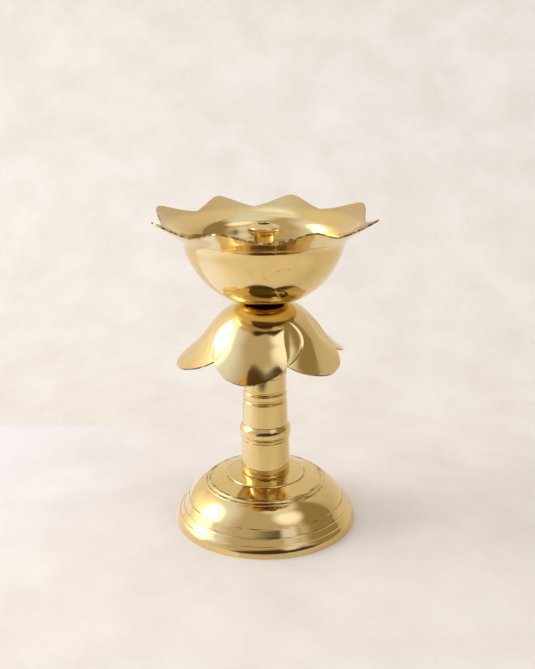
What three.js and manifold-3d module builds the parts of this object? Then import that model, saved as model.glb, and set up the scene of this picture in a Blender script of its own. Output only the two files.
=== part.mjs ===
// Pedestal diya: a brass oil lamp with a lotus bowl on a turned stand.
// Units are millimetres, +Z is up, and the origin is the centre of the base's rim on the table.
// An azimuth of 0 degrees faces the front (-Y) and grows towards +X.

import * as THREE from "three";
import { mergeVertices } from "three/addons/utils/BufferGeometryUtils.js";
import Module from "manifold-3d";

// Driving dimensions: fixings that run through the whole stack
const rodRadius = 3;
const threadGap = 0.3; // between the rod and every hole that it passes through
const rodEndBeyondNut = 1.2;
const rodChamfer = 0.6;
const nutAcrossFlats = 10;
const nutHeight = 5;
const nutChamfer = 0.8;
const washerRadius = 7;
const washerThickness = 1.2;
const sealRadius = 7.5;
const sealThickness = 1;

// Driving dimensions: cast base, from its rim inwards; each run is across and each rise is up
const baseRadius = 50;
const baseHeight = 27.6;
const baseWall = 2.6;
const baseRimLand = 3; // width of the flat ring that the lamp stands on
const lipEdge = 0.9; // height of the upright edge below the lip's slope
const lipRun = 1.8;
const lipRise = 5.9;
const lipBulge = 0.4;
const lipLedge = 0.5;
const lowerBandRun = 1.9;
const lowerBandRise = 2.9;
const baseGrooveWidth = 0.8;
const upperBandRun = 1.9;
const upperBandRise = 3.6;
const stepLine = 0.35; // small step between the upper band and the dome
const domeRun = 9.2;
const domeRise = 8.5;
const domeBulge = 0.8;
const twinBeadWidth = 0.8; // each of the two fine beads
const twinBeadRise = 0.45;
const twinBeadBulge = 0.32;
const twinGapRun = 1.25; // flat band between the two
const twinGapRise = 0.85;
const crownBeadRadius = 20.75;
const crownBeadWidth = 1.2;
const crownBeadRise = 0.35;
const crownBeadBulge = 0.35;
const crownBeadDrop = 1.2; // how far the bead's outer foot lies below the stem's seat
const seatMargin = 1; // flat ring of the crown round the stem's foot
const baseBossRadius = 9;
const baseBossHeight = 5.4;

// Driving dimensions: turned stem, from its foot upwards
const stemLength = 96.5;
const stemFootRadius = 12.8;
const stemFootRounding = 2.7;
const barrelRadius = 13.4;
const barrelLength = 17.2;
const barrelTopRadius = 13;
const barrelBulge = 0.2;
const beadRadius = 13.4; // where the two beads meet
const lowBeadWidth = 2.2;
const lowBeadBulge = 0.35;
const mainBeadWidth = 5.4;
const mainBeadBulge = 0.6;
const beadStep = 1.5; // height of the small step above the main bead
const taperBottomRadius = 12.4;
const taperTopRadius = 12;
const taperLength = 13;
const coveWidth = 2.4;
const coveDepth = 0.55;
const ridgeWidth = 2.35;
const ridgeRadius = 11.9;
const neckBottomRadius = 11.7;
const neckTopRadius = 11.4;
const neckLength = 7.1;
const collarWidth = 3.25;
const collarBulge = 0.5;
const shankRadius = 8.5; // the part that the lower petals hide
const stemWall = 3;
const stemWebThickness = 6; // the solid ends, which the rod passes through
const webDraft = 1; // slope of the cast web inside the stem

// Driving dimensions: lower petals, an upside-down lotus; radii run outwards and drops run down
const lowerWall = 1;
const lowerFlatRadius = 8.8;
const lowerShoulderRadius = 29.5;
const lowerShoulderDrop = 14;
const lowerFlareRadius = 35.6; // where the shoulder's and the tips' slopes would meet
const lowerFlareDrop = 23.7;
const lowerTipRadii = [46.4, 45.5, 44.3, 45.6, 45.8, 47.6]; // the petal after each notch, cut by hand
const lowerTipDrop = 31.8; // at the longest petal
const lowerNotchRadius = 38;
const lowerNotchAzimuths = [-42.5, 17.3, 80, 137, 195, 252];
const lowerTipRoundness = 1.8; // 1 is a straight-sided petal, 2 is a round one
const fluteHalfWidths = [7, 12, 9, 8, 10, 9]; // degrees, one hollow between each two petals
const fluteLeans = [1, 17, -4, 5, -6, 3]; // degrees that each hollow's head leans from its notch
const fluteDepth = 0.6;
const fluteHeadRadius = 22.8;
const fluteHeadHalfWidth = 1; // degrees
const fluteWidthAtRim = 0.72; // 1 is a hollow that closes at the rim, 0.5 is widest there
const fluteWidthFullness = 0.6; // lower is fuller near the head
const fluteDepthAtRim = 0.8;
const fluteDepthFullness = 0.8;

// Driving dimensions: spacer ring between the lower petals and the bowl
const spacerRadius = 6.5;
const spacerHeight = 0.8;

// Driving dimensions: lotus bowl; radii run outwards and heights run up from its underside
const bowlWall = 1;
const bowlFlatRadius = 9.3;
const bowlBendRadius = 42.7; // where the deep wall turns out into the petals
const bowlBendHeight = 32.2;
const bowlWallSweep = 72; // degrees of the ellipse that the deep wall follows
const bowlFlareRun = 4.6;
const bowlFlareRise = 4;
const bowlTipRadius = 60.9;
const bowlTipHeight = 45.3;
const bowlNotchRadius = 52.6;
const bowlNotchAzimuths = [2, 43, 93, 143.5, 186.3, 225.2, 274, 317.7];
const bowlTipSoftness = 0.22; // 0 is a pointed petal with straight sides

// Driving dimensions: wick plate, which drops into the bowl
const plateHeight = 24.3; // its rim's top above the bowl's underside
const plateWall = 1.2;
const plateRimWidth = 2;
const plateDepth = 3.2;
const plateSideRun = 2;
const plateSideBulge = 0.6;
const plateBossRadius = 7.5;
const plateBossHeight = 4.4;

// Driving dimensions: wick holder, which drops into the plate
const wickBoreRadius = 3.3;
const wickBoreEdge = 0.35;
const holderHeadRadius = 8.35;
const holderHeadThickness = 2.6;
const holderHeadCone = 1.45;
const holderEdge = 0.45;
const holderNeckRadius = 5.4;
const holderNeckLength = 14.8;
const spigotRadius = 4.2;
const spigotLength = 6.6;
const liftClearance = 0.4; // between a piece that lifts out and its seat

// How finely round shapes are faceted
const baseSides = 40;
const stemSides = 28;
const smallSides = 24;
const bowlHalfPetal = 4;
const lowerHalfPetal = 4;
const fluteColumns = 4;
const bowlRows = 9;
const lowerRows = 9;
const slightSteps = 2; // for each arc of a profile, by how much it turns
const beadSteps = 3;
const broadSteps = 4;
const sweptSteps = 6;
const bowlWallSteps = 8;
const outlineDivisions = 400;
const bisections = 30; // halvings in each search along an outline

// Heights of the seats, stacked from the table upwards
const stemSeat = baseHeight;
const lowerSeat = stemSeat + stemLength;
const spacerSeat = lowerSeat + lowerWall;
const bowlSeat = spacerSeat + spacerHeight;
const sealSeat = bowlSeat + bowlWall;
const bowlNutSeat = sealSeat + sealThickness;
const rodTop = bowlNutSeat + nutHeight + rodEndBeyondNut;
const baseWasherTop = baseHeight - baseBossHeight;
const baseNutTop = baseWasherTop - washerThickness;
const rodBottom = baseNutTop - nutHeight - rodEndBeyondNut;
const rodHoleRadius = rodRadius + threadGap;
const plateTop = bowlSeat + plateHeight;
const plateFloor = plateTop - plateDepth;
const spigotHoleRadius = spigotRadius + liftClearance;
const degrees = Math.PI / 180;

// Points of an arc from a to b that stands `rise` proud of the line between them, on its right.
function arc(a, b, rise, steps) {
  const chord = new THREE.Vector2(b[0] - a[0], b[1] - a[1]);
  const half = chord.length() / 2;
  const radius = (half * half + rise * rise) / (2 * Math.abs(rise));
  const sweep = 2 * Math.asin(Math.min(1, half / radius));
  const along = chord.clone().normalize();
  const proud = new THREE.Vector2(along.y, -along.x).multiplyScalar(Math.sign(rise));
  const points = [];
  for (let i = 0; i <= steps; i++) {
    const angle = sweep * (i / steps - 0.5);
    const forward = half + radius * Math.sin(angle);
    const sideways = radius * Math.cos(angle) - (radius - Math.abs(rise));
    points.push([
      a[0] + along.x * forward + proud.x * sideways,
      a[1] + along.y * forward + proud.y * sideways,
    ]);
  }
  return points;
}

// The same geometry with only its positions, closed where the surface meets itself
function closed(geometry) {
  geometry.deleteAttribute("uv");
  geometry.deleteAttribute("normal");
  const loose = mergeVertices(geometry, 1e-4).toNonIndexed();
  loose.computeVertexNormals();
  return loose;
}

// A solid of revolution from [radius, height] points, which run up the outside.
function revolved(points, sides, seat) {
  const vectors = points.map(([radius, height]) => new THREE.Vector2(radius, height + seat));
  const geometry = new THREE.LatheGeometry(vectors, sides);
  geometry.rotateX(Math.PI / 2);
  return closed(geometry);
}

// A ring of revolution, whose profile runs up the outside and down the inside.
function turned(profile, sides, seat = 0) {
  return revolved([...profile, profile[0]], sides, seat);
}

function washer(radius, thickness, seat) {
  const profile = [
    [rodHoleRadius, 0],
    [radius, 0],
    [radius, thickness],
    [rodHoleRadius, thickness],
  ];
  return turned(profile, smallSides, seat);
}

// The cast base: a rim lip, two bands, a dome with twin beads, and a crown with one bead
function baseGeometry() {
  const lipFoot = [baseRadius, lipEdge];
  const lipTop = [baseRadius - lipRun, lipRise];
  const bandFoot = [lipTop[0] - lipLedge, lipTop[1]];
  const bandTop = [bandFoot[0] - lowerBandRun, bandFoot[1] + lowerBandRise];
  const grooveFoot = [bandTop[0] - baseGrooveWidth / 2, bandTop[1]];
  const grooveTop = [bandTop[0] - baseGrooveWidth, bandTop[1] + baseGrooveWidth];
  const upperTop = [grooveTop[0] - upperBandRun, grooveTop[1] + upperBandRise];
  const domeFoot = [upperTop[0] - stepLine, upperTop[1] + stepLine / 2];
  const domeTop = [domeFoot[0] - domeRun, domeFoot[1] + domeRise];
  const outerTop = [domeTop[0] - twinBeadWidth, domeTop[1] + twinBeadRise];
  const innerFoot = [outerTop[0] - twinGapRun, outerTop[1] + twinGapRise];
  const innerTop = [innerFoot[0] - twinBeadWidth, innerFoot[1] + twinBeadRise];
  const crownOuter = [crownBeadRadius + crownBeadWidth / 2, baseHeight - crownBeadDrop];
  const crownInner = [crownBeadRadius - crownBeadWidth / 2, crownOuter[1] + crownBeadRise];
  const outside = [
    [baseRadius, 0],
    ...arc(lipFoot, lipTop, lipBulge, beadSteps),
    bandFoot,
    bandTop,
    grooveFoot,
    grooveTop,
    upperTop,
    ...arc(domeFoot, domeTop, domeBulge, broadSteps),
    ...arc(domeTop, outerTop, twinBeadBulge, beadSteps).slice(1),
    ...arc(innerFoot, innerTop, twinBeadBulge, beadSteps),
    ...arc(crownOuter, crownInner, crownBeadBulge, beadSteps),
    [stemFootRadius + seatMargin, baseHeight],
    [rodHoleRadius, baseHeight],
  ];
  const inner = ([radius, height]) => [radius - baseWall / 2, height - baseWall];
  const inside = [
    [rodHoleRadius, baseHeight - baseBossHeight],
    [baseBossRadius, baseHeight - baseBossHeight],
    [baseBossRadius, crownInner[1] - baseWall],
    inner(crownInner),
    ...arc(inner(domeFoot), inner(innerTop), domeBulge, broadSteps).reverse(),
    inner(grooveTop),
    [lipTop[0] - baseWall, lipTop[1] / 2],
    [baseRadius - baseRimLand, 0],
  ];
  return turned([...outside, ...inside], baseSides);
}

// The turned stem: barrel, beads, taper, two coves, neck and collar, hollow between its webs
function stemGeometry() {
  const foot = [stemFootRadius, 0];
  const footTop = [barrelRadius, stemFootRounding];
  const barrelTop = [barrelTopRadius, stemFootRounding + barrelLength];
  const lowBeadTop = [beadRadius, barrelTop[1] + lowBeadWidth];
  const mainBeadTop = [beadRadius, lowBeadTop[1] + mainBeadWidth];
  const taperFoot = [taperBottomRadius, mainBeadTop[1] + beadStep];
  const taperTop = [taperTopRadius, taperFoot[1] + taperLength];
  const ridgeFoot = [ridgeRadius, taperTop[1] + coveWidth];
  const ridgeTop = [ridgeRadius, ridgeFoot[1] + ridgeWidth];
  const neckFoot = [neckBottomRadius, ridgeTop[1] + coveWidth];
  const neckTop = [neckTopRadius, neckFoot[1] + neckLength];
  const collarTop = [neckTopRadius, neckTop[1] + collarWidth];
  const outside = [
    ...arc(foot, footTop, barrelBulge, slightSteps),
    ...arc(footTop, barrelTop, barrelBulge, beadSteps).slice(1),
    ...arc(barrelTop, lowBeadTop, lowBeadBulge, beadSteps).slice(1),
    ...arc(lowBeadTop, mainBeadTop, mainBeadBulge, broadSteps).slice(1),
    taperFoot,
    ...arc(taperTop, ridgeFoot, -coveDepth, beadSteps),
    ...arc(ridgeTop, neckFoot, -coveDepth, beadSteps),
    ...arc(neckTop, collarTop, collarBulge, beadSteps),
    [shankRadius, collarTop[1]],
    [shankRadius, stemLength],
    [rodHoleRadius, stemLength],
  ];
  const inside = [
    [rodHoleRadius, stemLength - stemWebThickness],
    [shankRadius - stemWall, stemLength - stemWebThickness - webDraft],
    [shankRadius - stemWall, neckTop[1]],
    [taperTopRadius - stemWall, taperTop[1]],
    [barrelTopRadius - stemWall, barrelTop[1]],
    [barrelRadius - stemWall, stemWebThickness + webDraft],
    [rodHoleRadius, stemWebThickness],
    [rodHoleRadius, 0],
  ];
  return turned([...outside, ...inside], stemSides, stemSeat);
}

// A smooth outline through [radius, height] points
function outlineCurve(points) {
  const curve = new THREE.SplineCurve(points.map(([x, y]) => new THREE.Vector2(x, y)));
  curve.arcLengthDivisions = outlineDivisions;
  return curve;
}

// Points of a curve that leaves a and reaches b along the lines through their meeting point.
function swept(a, meeting, b) {
  const [from, through, to] = [a, meeting, b].map(([x, y]) => new THREE.Vector2(x, y));
  const curve = new THREE.QuadraticBezierCurve(from, through, to);
  return curve.getPoints(sweptSteps).map((point) => [point.x, point.y]);
}

// The share of the curve's length, from 0 to 1, at which `measure` of its point reaches `value`.
function shareWhere(measure, value) {
  let low = 0;
  let high = 1;
  for (let i = 0; i < bisections; i++) {
    const middle = (low + high) / 2;
    if (measure(middle) < value) low = middle;
    else high = middle;
  }
  return (low + high) / 2;
}

// A point `depth` behind the outline, to its left where side is 1 and to its right where it is -1.
function behind(curve, share, depth, side) {
  const point = curve.getPointAt(share);
  const along = curve.getTangentAt(share);
  return [point.x - side * depth * along.y, point.y + side * depth * along.x];
}

// A thin sheet of revolution whose rim is cut into petals and whose floor has a round hole.
// Each column gives its azimuth, how far out its rim lies, and how deep it is pressed in.
function petalSheet({ curve, wall, side, rows, columns }) {
  const floor = curve.getPointAt(0);
  const longest = Math.max(...columns.map((column) => column.rimShare));
  const positions = [];
  for (const depth of [0, wall])
    for (let row = -1; row <= rows; row++)
      for (const column of columns) {
        const fraction = Math.max(row, 0) / rows;
        const share = fraction * (longest + (column.rimShare - longest) * fraction ** 3);
        const flat = [row < 0 ? rodHoleRadius : floor.x, floor.y + side * depth];
        const sunk = depth + column.sinkAt(share);
        const [radius, height] = row < 1 ? flat : behind(curve, share, sunk, side);
        const azimuth = column.azimuthAt(share) * degrees;
        positions.push(radius * Math.sin(azimuth), -radius * Math.cos(azimuth), height);
      }
  const count = columns.length;
  const rings = rows + 2;
  const at = (face, ring, column) => (face * rings + ring) * count + (column % count);
  const index = [];
  const quad = (a, b, c, d) => {
    if (side > 0) index.push(a, b, c, a, c, d);
    else index.push(a, c, b, a, d, c);
  };
  for (let i = 0; i < count; i++) {
    for (let ring = 0; ring < rings - 1; ring++) {
      quad(at(0, ring, i), at(0, ring, i + 1), at(0, ring + 1, i + 1), at(0, ring + 1, i));
      quad(at(1, ring, i + 1), at(1, ring, i), at(1, ring + 1, i), at(1, ring + 1, i + 1));
    }
    const rim = rings - 1;
    quad(at(0, rim, i), at(0, rim, i + 1), at(1, rim, i + 1), at(1, rim, i));
    quad(at(0, 0, i + 1), at(0, 0, i), at(1, 0, i), at(1, 0, i + 1));
  }
  const geometry = new THREE.BufferGeometry();
  geometry.setAttribute("position", new THREE.Float32BufferAttribute(positions, 3));
  geometry.setIndex(index);
  const loose = geometry.toNonIndexed();
  loose.computeVertexNormals();
  return loose;
}

// Each notch with the petal tips on its two sides, in degrees
function petalSectors(notchAzimuths) {
  const count = notchAzimuths.length;
  return notchAzimuths.map((notch, i) => {
    const before = i > 0 ? notchAzimuths[i - 1] : notchAzimuths[count - 1] - 360;
    const after = i < count - 1 ? notchAzimuths[i + 1] : notchAzimuths[0] + 360;
    return { notch, tipBefore: (before + notch) / 2, tipAfter: (notch + after) / 2 };
  });
}

// The lower petals' upper face: a crowned top and a shoulder, then the flared tips
function lowerOutline() {
  const flat = [lowerFlatRadius, spacerSeat];
  const crown = [(lowerFlatRadius + lowerShoulderRadius) / 2, spacerSeat];
  const shoulder = [lowerShoulderRadius, spacerSeat - lowerShoulderDrop];
  const flare = [lowerFlareRadius, spacerSeat - lowerFlareDrop];
  const tip = [Math.max(...lowerTipRadii), spacerSeat - lowerTipDrop];
  return [...swept(flat, crown, shoulder), ...swept(shoulder, flare, tip).slice(1)];
}

const lowerCurve = outlineCurve(lowerOutline());

// The lower petals: round petals with a hollow pressed in between each two
function lowerPetalsGeometry() {
  const radiusAt = (share) => lowerCurve.getPointAt(share).x;
  const headShare = shareWhere(radiusAt, fluteHeadRadius);
  const along = (share) => Math.max(0, (share - headShare) / (1 - headShare));
  const leaf = (share, atRim, fullness) => Math.sin(atRim * Math.PI * along(share) ** fullness);
  const columns = [];
  petalSectors(lowerNotchAzimuths).forEach(({ notch, tipBefore, tipAfter }, i) => {
    const radiusBefore = lowerTipRadii.at(i - 1);
    const radiusAfter = lowerTipRadii[i];
    const middleAt = (share) => notch + fluteLeans[i] * (1 - along(share));
    const swell = fluteHalfWidths[i] - fluteHeadHalfWidth;
    const creaseAt = (share, side) => {
      const halfWidth = fluteHeadHalfWidth + swell * leaf(share, fluteWidthAtRim, fluteWidthFullness);
      return middleAt(share) + side * halfWidth;
    };
    const add = (azimuthAt, sinkAt) => {
      const azimuth = azimuthAt(1);
      const [tip, tipRadius] = azimuth < notch ? [tipBefore, radiusBefore] : [tipAfter, radiusAfter];
      const fall = Math.abs((azimuth - tip) / (notch - tip)) ** lowerTipRoundness;
      const rimRadius = tipRadius + (lowerNotchRadius - tipRadius) * fall;
      columns.push({ azimuthAt, sinkAt, rimShare: shareWhere(radiusAt, rimRadius) });
    };
    for (let k = 0; k < lowerHalfPetal; k++) {
      const part = k / lowerHalfPetal;
      add((share) => tipBefore + (creaseAt(share, -1) - tipBefore) * part, () => 0);
    }
    for (let k = 0; k < fluteColumns; k++) {
      const across = (2 * k) / fluteColumns - 1;
      const bowed = fluteDepth * (1 - across * across);
      const sinkAt = (share) => bowed * leaf(share, fluteDepthAtRim, fluteDepthFullness);
      add((share) => creaseAt(share, across), sinkAt);
    }
    for (let k = 0; k < lowerHalfPetal; k++) {
      const part = 1 - k / lowerHalfPetal;
      add((share) => tipAfter + (creaseAt(share, 1) - tipAfter) * part, () => 0);
    }
  });
  return petalSheet({ curve: lowerCurve, wall: lowerWall, side: -1, rows: lowerRows, columns });
}

// The bowl's outer face: part of an ellipse, then a bend into the straight petals
function bowlOutline() {
  const sweep = bowlWallSweep * degrees;
  const across = (bowlBendRadius - bowlFlatRadius) / Math.sin(sweep);
  const up = bowlBendHeight / (1 - Math.cos(sweep));
  const points = [];
  for (let i = 0; i <= bowlWallSteps; i++) {
    const angle = (sweep * i) / bowlWallSteps;
    points.push([bowlFlatRadius + across * Math.sin(angle), up * (1 - Math.cos(angle))]);
  }
  const flare = [bowlBendRadius + bowlFlareRun, bowlBendHeight + bowlFlareRise];
  const tip = [bowlTipRadius, bowlTipHeight];
  const middle = [(flare[0] + tip[0]) / 2, (flare[1] + tip[1]) / 2];
  return [...points, flare, middle, tip].map(([radius, height]) => [radius, height + bowlSeat]);
}

const bowlCurve = outlineCurve(bowlOutline());

// The bowl: a deep dish whose flared rim is cut into straight-sided petals
function bowlGeometry() {
  const radiusAt = (share) => bowlCurve.getPointAt(share).x;
  const soften = (x) => Math.hypot(x, bowlTipSoftness) - bowlTipSoftness;
  const columns = [];
  const add = (notch, tip, fromTip) => {
    const whole = Math.abs(notch - tip) * degrees;
    const turn = (whole * soften(fromTip)) / soften(1);
    const closeness = Math.sin(whole - turn) / bowlTipRadius + Math.sin(turn) / bowlNotchRadius;
    const rimShare = shareWhere(radiusAt, Math.sin(whole) / closeness);
    const azimuth = tip + (notch - tip) * fromTip;
    columns.push({ azimuthAt: () => azimuth, sinkAt: () => 0, rimShare });
  };
  petalSectors(bowlNotchAzimuths).forEach(({ notch, tipBefore, tipAfter }) => {
    for (let k = 0; k < bowlHalfPetal; k++) add(notch, tipBefore, k / bowlHalfPetal);
    for (let k = 0; k < bowlHalfPetal; k++) add(notch, tipAfter, 1 - k / bowlHalfPetal);
  });
  return petalSheet({ curve: bowlCurve, wall: bowlWall, side: 1, rows: bowlRows, columns });
}

// The radius of the bowl's inner face at a height
function bowlInnerRadius(height) {
  const share = shareWhere((u) => behind(bowlCurve, u, bowlWall, 1)[1], height);
  return behind(bowlCurve, share, bowlWall, 1)[0];
}

// The wick plate: a shallow dish whose rim rests on the bowl's wall, with a boss for the holder
function wickPlateGeometry() {
  const rimTopRadius = bowlInnerRadius(plateTop) - liftClearance;
  const rimFootRadius = bowlInnerRadius(plateTop - plateWall) - liftClearance;
  const lipRadius = rimTopRadius - plateRimWidth;
  const floorRadius = lipRadius - plateSideRun;
  const underside = plateFloor - plateWall;
  const bossFoot = underside - plateBossHeight;
  return turned(
    [
      [spigotHoleRadius, bossFoot],
      [plateBossRadius, bossFoot],
      [plateBossRadius, underside],
      ...arc([floorRadius, underside], [lipRadius, plateTop - plateWall], plateSideBulge, beadSteps),
      [rimFootRadius, plateTop - plateWall],
      [rimTopRadius, plateTop],
      ...arc([lipRadius, plateTop], [floorRadius, plateFloor], -plateSideBulge, beadSteps),
      [spigotHoleRadius, plateFloor],
    ],
    baseSides,
  );
}

// The wick holder: a flanged head on a neck, with a spigot that drops into the plate
function wickHolderGeometry() {
  const neckFoot = plateFloor + liftClearance;
  const headFoot = neckFoot + holderNeckLength;
  const headTop = headFoot + holderHeadThickness;
  const mouth = headTop + holderHeadCone;
  return turned(
    [
      [wickBoreRadius, neckFoot - spigotLength],
      [spigotRadius, neckFoot - spigotLength],
      [spigotRadius, neckFoot],
      [holderNeckRadius, neckFoot],
      [holderNeckRadius, headFoot],
      [holderHeadRadius - holderEdge, headFoot],
      [holderHeadRadius, headFoot + holderEdge],
      [holderHeadRadius, headTop - holderEdge],
      [holderHeadRadius - holderEdge, headTop],
      [wickBoreRadius + wickBoreEdge, mouth],
      [wickBoreRadius, mouth - wickBoreEdge],
    ],
    smallSides,
  );
}

// The threaded rod, plain here, with a chamfer at each end
function rodGeometry() {
  const points = [
    [0, rodBottom],
    [rodRadius - rodChamfer, rodBottom],
    [rodRadius, rodBottom + rodChamfer],
    [rodRadius, rodTop - rodChamfer],
    [rodRadius - rodChamfer, rodTop],
    [0, rodTop],
  ];
  return revolved(points, smallSides, 0);
}

const wasm = await Module();
wasm.setup();

function solidOf(geometry) {
  const bare = geometry.clone();
  bare.deleteAttribute("uv");
  bare.deleteAttribute("normal");
  const merged = mergeVertices(bare, 1e-4);
  const vertProperties = merged.attributes.position.array;
  const triVerts = new Uint32Array(merged.index.array);
  return new wasm.Manifold(new wasm.Mesh({ numProp: 3, vertProperties, triVerts }));
}

function geometryOf(solid) {
  const mesh = solid.getMesh();
  const geometry = new THREE.BufferGeometry();
  geometry.setAttribute("position", new THREE.BufferAttribute(mesh.vertProperties, 3));
  geometry.setIndex(new THREE.BufferAttribute(mesh.triVerts, 1));
  const loose = geometry.toNonIndexed();
  loose.computeVertexNormals();
  return loose;
}

// A hexagonal nut: a prism trimmed by its turned chamfers, with a plain hole
function nutGeometry(seat) {
  const cornerRadius = nutAcrossFlats / Math.sqrt(3);
  const prism = new THREE.CylinderGeometry(cornerRadius, cornerRadius, nutHeight, 6);
  prism.rotateX(Math.PI / 2);
  prism.translate(0, 0, seat + nutHeight / 2);
  const faceRadius = nutAcrossFlats / 2;
  const outside = faceRadius + 2 * nutChamfer;
  const envelope = turned(
    [
      [rodHoleRadius, 0],
      [faceRadius, 0],
      [outside, nutChamfer],
      [outside, nutHeight - nutChamfer],
      [faceRadius, nutHeight],
      [rodHoleRadius, nutHeight],
    ],
    smallSides,
    seat,
  );
  return geometryOf(solidOf(prism).intersect(solidOf(envelope)));
}

// Finishes
const metal = (color, roughness) =>
  new THREE.MeshStandardMaterial({ color, roughness, metalness: 1 });
const castBrass = metal(0xd8b468, 0.2);
const turnedBrass = metal(0xdcb96c, 0.14);
const sheetBrass = metal(0xd9b870, 0.16);
const zincedSteel = metal(0xb9bcc0, 0.35);
const redFibre = new THREE.MeshStandardMaterial({ color: 0x7a2f22, roughness: 0.8, metalness: 0 });

// Assembly, from the table upwards
const diya = new THREE.Group();

function place(name, geometry, material) {
  const mesh = new THREE.Mesh(geometry, material);
  mesh.name = name;
  diya.add(mesh);
}

place("base", baseGeometry(), castBrass);
place("base_nut", nutGeometry(baseNutTop - nutHeight), zincedSteel);
place("base_washer", washer(washerRadius, washerThickness, baseNutTop), zincedSteel);
place("stem", stemGeometry(), turnedBrass);
place("tie_rod", rodGeometry(), zincedSteel);
place("lower_petals", lowerPetalsGeometry(), sheetBrass);
place("spacer_ring", washer(spacerRadius, spacerHeight, spacerSeat), turnedBrass);
place("bowl", bowlGeometry(), sheetBrass);
place("sealing_washer", washer(sealRadius, sealThickness, sealSeat), redFibre);
place("bowl_nut", nutGeometry(bowlNutSeat), zincedSteel);
place("wick_plate", wickPlateGeometry(), turnedBrass);
place("wick_holder", wickHolderGeometry(), turnedBrass);

export default diya;
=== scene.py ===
"""Gives the packed pedestal diya its looks: polished brass, modelled finely over the packed frame.

Lengths are metres in the frame's own axes: +Z runs up the stem and -Y faces the viewer.
An azimuth of 0 degrees faces the front (-Y) and grows towards +X, the viewer's right.
"""

import math

import bmesh
import bpy
from mathutils import Matrix, Vector, noise


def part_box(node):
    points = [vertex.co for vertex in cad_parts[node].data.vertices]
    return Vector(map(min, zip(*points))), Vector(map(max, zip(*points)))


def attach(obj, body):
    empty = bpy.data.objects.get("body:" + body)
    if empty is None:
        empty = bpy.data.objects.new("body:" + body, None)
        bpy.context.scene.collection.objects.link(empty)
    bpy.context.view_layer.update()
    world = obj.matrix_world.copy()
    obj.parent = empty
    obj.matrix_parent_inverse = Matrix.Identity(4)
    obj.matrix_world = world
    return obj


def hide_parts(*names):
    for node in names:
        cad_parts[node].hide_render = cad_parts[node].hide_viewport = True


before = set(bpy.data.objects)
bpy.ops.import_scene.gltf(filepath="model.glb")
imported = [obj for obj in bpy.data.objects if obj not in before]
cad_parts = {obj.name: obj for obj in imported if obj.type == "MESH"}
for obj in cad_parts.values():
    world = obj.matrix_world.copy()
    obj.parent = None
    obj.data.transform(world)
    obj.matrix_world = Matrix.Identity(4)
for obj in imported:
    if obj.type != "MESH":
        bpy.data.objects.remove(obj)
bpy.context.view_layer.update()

bl_info = {
    "name": "Pedestal diya",
    "version": (1, 0, 0),
    "blender": (4, 5, 0),
    "location": "3D Viewport > Sidebar > Diya",
    "description": "Makes a polished brass oil lamp with a lotus bowl, and its studio",
    "category": "Object",
}

MM = 0.001
STAND = "stand"
PLATE = "plate"
HOLDER = "holder"

# How finely the pieces are made
BASE_STEPS = 256
STEM_STEPS = 128
SMALL_STEPS = 96
ROW_SPACING = 0.6 * MM
MERGE_DISTANCE = 0.002 * MM
CORNER_ANGLE = math.radians(20)
EDGE_ROUNDING = 0.16 * MM
RIM_BLEND = 3  # how late a sheet's rows turn from round to the line of its rim
ROD_HOLE = 3.3 * MM  # radius of every hole that the tie rod passes through


# Settings that a user would change


def length(title, what, millimetres):
    return bpy.props.FloatProperty(
        name=title, description=what, default=millimetres * MM, precision=5, unit="LENGTH"
    )


def ring(title, what, radius, height):
    return bpy.props.FloatVectorProperty(
        name=title,
        description=what + ": its radius and its height",
        default=(radius * MM, height * MM),
        size=2,
        precision=5,
        unit="LENGTH",
    )


def lengths(title, what, millimetres):
    return bpy.props.FloatVectorProperty(
        name=title,
        description=what,
        default=[size * MM for size in millimetres],
        size=len(millimetres),
        precision=5,
        unit="LENGTH",
    )


def angles(title, what, degrees):
    return bpy.props.FloatVectorProperty(
        name=title,
        description=what,
        default=[math.radians(angle) for angle in degrees],
        size=len(degrees),
        unit="ROTATION",
    )


def linear(hex_code):
    """The linear colour of an sRGB hex value such as #D9B870."""
    channels = [int(hex_code[place : place + 2], 16) / 255 for place in (1, 3, 5)]
    bright = [c / 12.92 if c <= 0.04045 else ((c + 0.055) / 1.055) ** 2.4 for c in channels]
    return (*bright, 1.0)


def brightened(hex_code, times):
    return [channel * times for channel in linear(hex_code)[:3]] + [1.0]


def colour(title, what, hex_code):
    return bpy.props.FloatVectorProperty(
        name=title, description=what, default=linear(hex_code), size=4, subtype="COLOR"
    )


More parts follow.
